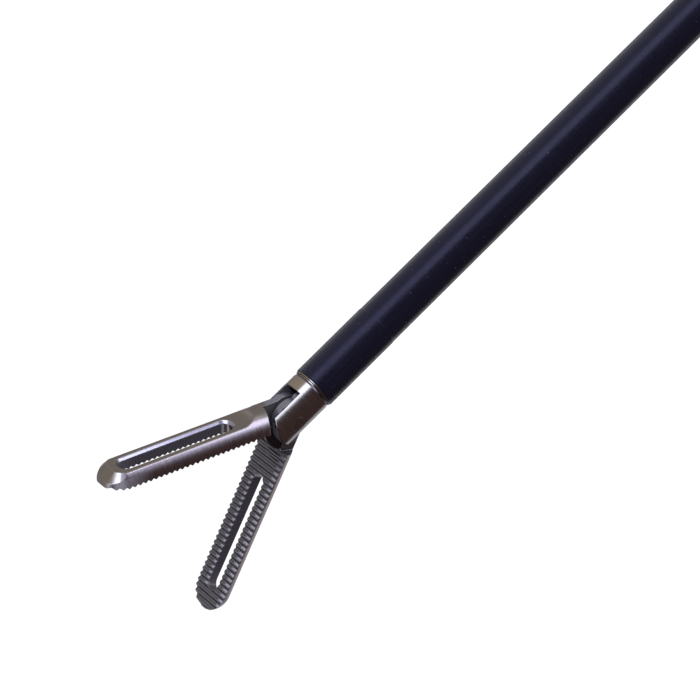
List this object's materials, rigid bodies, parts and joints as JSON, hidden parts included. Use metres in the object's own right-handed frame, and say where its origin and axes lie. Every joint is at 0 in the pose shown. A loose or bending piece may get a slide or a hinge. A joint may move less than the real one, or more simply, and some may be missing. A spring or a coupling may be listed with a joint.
{
  "type": "fenestrated grasper",
  "caption": "Slim laparoscopic grasper with windowed toothed jaws, an insulated shaft, a rotation knob and a plain ring handle.",
  "frame": {"origin": "on the shaft's axis, at the front end of its insulation", "axes": "+X along the shaft towards the jaw tips, +Y towards the electrode post, +Z along the pivot pins"},
  "size_m": [0.4416, 0.1125, 0.0272],
  "materials": {
    "jaw_steel": "satin, fine cross grain",
    "clevis_steel": "satin, turned",
    "pin_steel": "ground",
    "rod_steel": "drawn",
    "tube_steel": "drawn",
    "hub_steel": "turned",
    "screw_steel": "turned",
    "clip_steel": "stamped, oiled",
    "post_steel": "polished",
    "leaf_bronze": "rolled strip",
    "insulation": "satin black insulation with a blue tint",
    "knob_plastic": "moulded, fine texture",
    "handle_plastic": "moulded, fine texture",
    "lever_plastic": "moulded, fine texture",
    "retainer_plastic": "turned",
    "washer_plastic": "stamped",
    "seal_rubber": "moulded silicone"
  },
  "bodies": {
    "handle": {"left_shell": "handle_plastic", "right_shell": "handle_plastic", "shell_screws": "screw_steel", "lever_pivot_pin": "pin_steel", "electrode_post": "post_steel", "contact_leaf": "leaf_bronze"},
    "lever": {"thumb_lever": "lever_plastic", "ball_socket": "rod_steel"},
    "shaft": {"rotation_knob": "knob_plastic", "knob_set_screw": "screw_steel", "knob_hub": "hub_steel", "thrust_washer": "washer_plastic", "retaining_clip": "clip_steel", "rod_seal": "seal_rubber", "seal_retainer": "retainer_plastic", "inner_tube": "tube_steel", "insulation_sleeve": "insulation", "clevis": "clevis_steel", "jaw_pivot_pin": "pin_steel"},
    "rod": {"push_rod": "rod_steel", "rod_tongue": "rod_steel", "drive_pin": "pin_steel", "rod_ball": "rod_steel"},
    "upper_jaw": {"upper_jaw": "jaw_steel"},
    "lower_jaw": {"lower_jaw": "jaw_steel"}
  },
  "joints": [
    {"name": "shaft_rotation", "type": "hinge", "parent": "handle", "child": "shaft", "pos_m": [-0.33, 0, 0], "axis": [1, 0, 0], "continuous": true},
    {"name": "lever_squeeze", "type": "hinge", "parent": "handle", "child": "lever", "pos_m": [-0.35594, -0.005, 0], "axis": [0, 0, 1], "range_deg": [0, 11.46]},
    {"name": "rod_pull", "type": "slide", "parent": "shaft", "child": "rod", "axis": [1, 0, 0], "range_m": [-0.00101, 0]},
    {"name": "upper_jaw_swing", "type": "hinge", "parent": "shaft", "child": "upper_jaw", "pos_m": [0.00416, 0, 0], "axis": [0, 0, 1], "range_deg": [0, 31.01]},
    {"name": "lower_jaw_swing", "type": "hinge", "parent": "shaft", "child": "lower_jaw", "pos_m": [0.00416, 0, 0], "axis": [0, 0, 1], "range_deg": [-31.01, 0]}
  ],
  "couplings": [
    {"joint": "rod_pull", "follows": "lever_squeeze", "m_per_rad": -0.005},
    {"joint": "upper_jaw_swing", "follows": "lever_squeeze", "ratio": 2.7053},
    {"joint": "lower_jaw_swing", "follows": "lever_squeeze", "ratio": -2.7053}
  ]
}
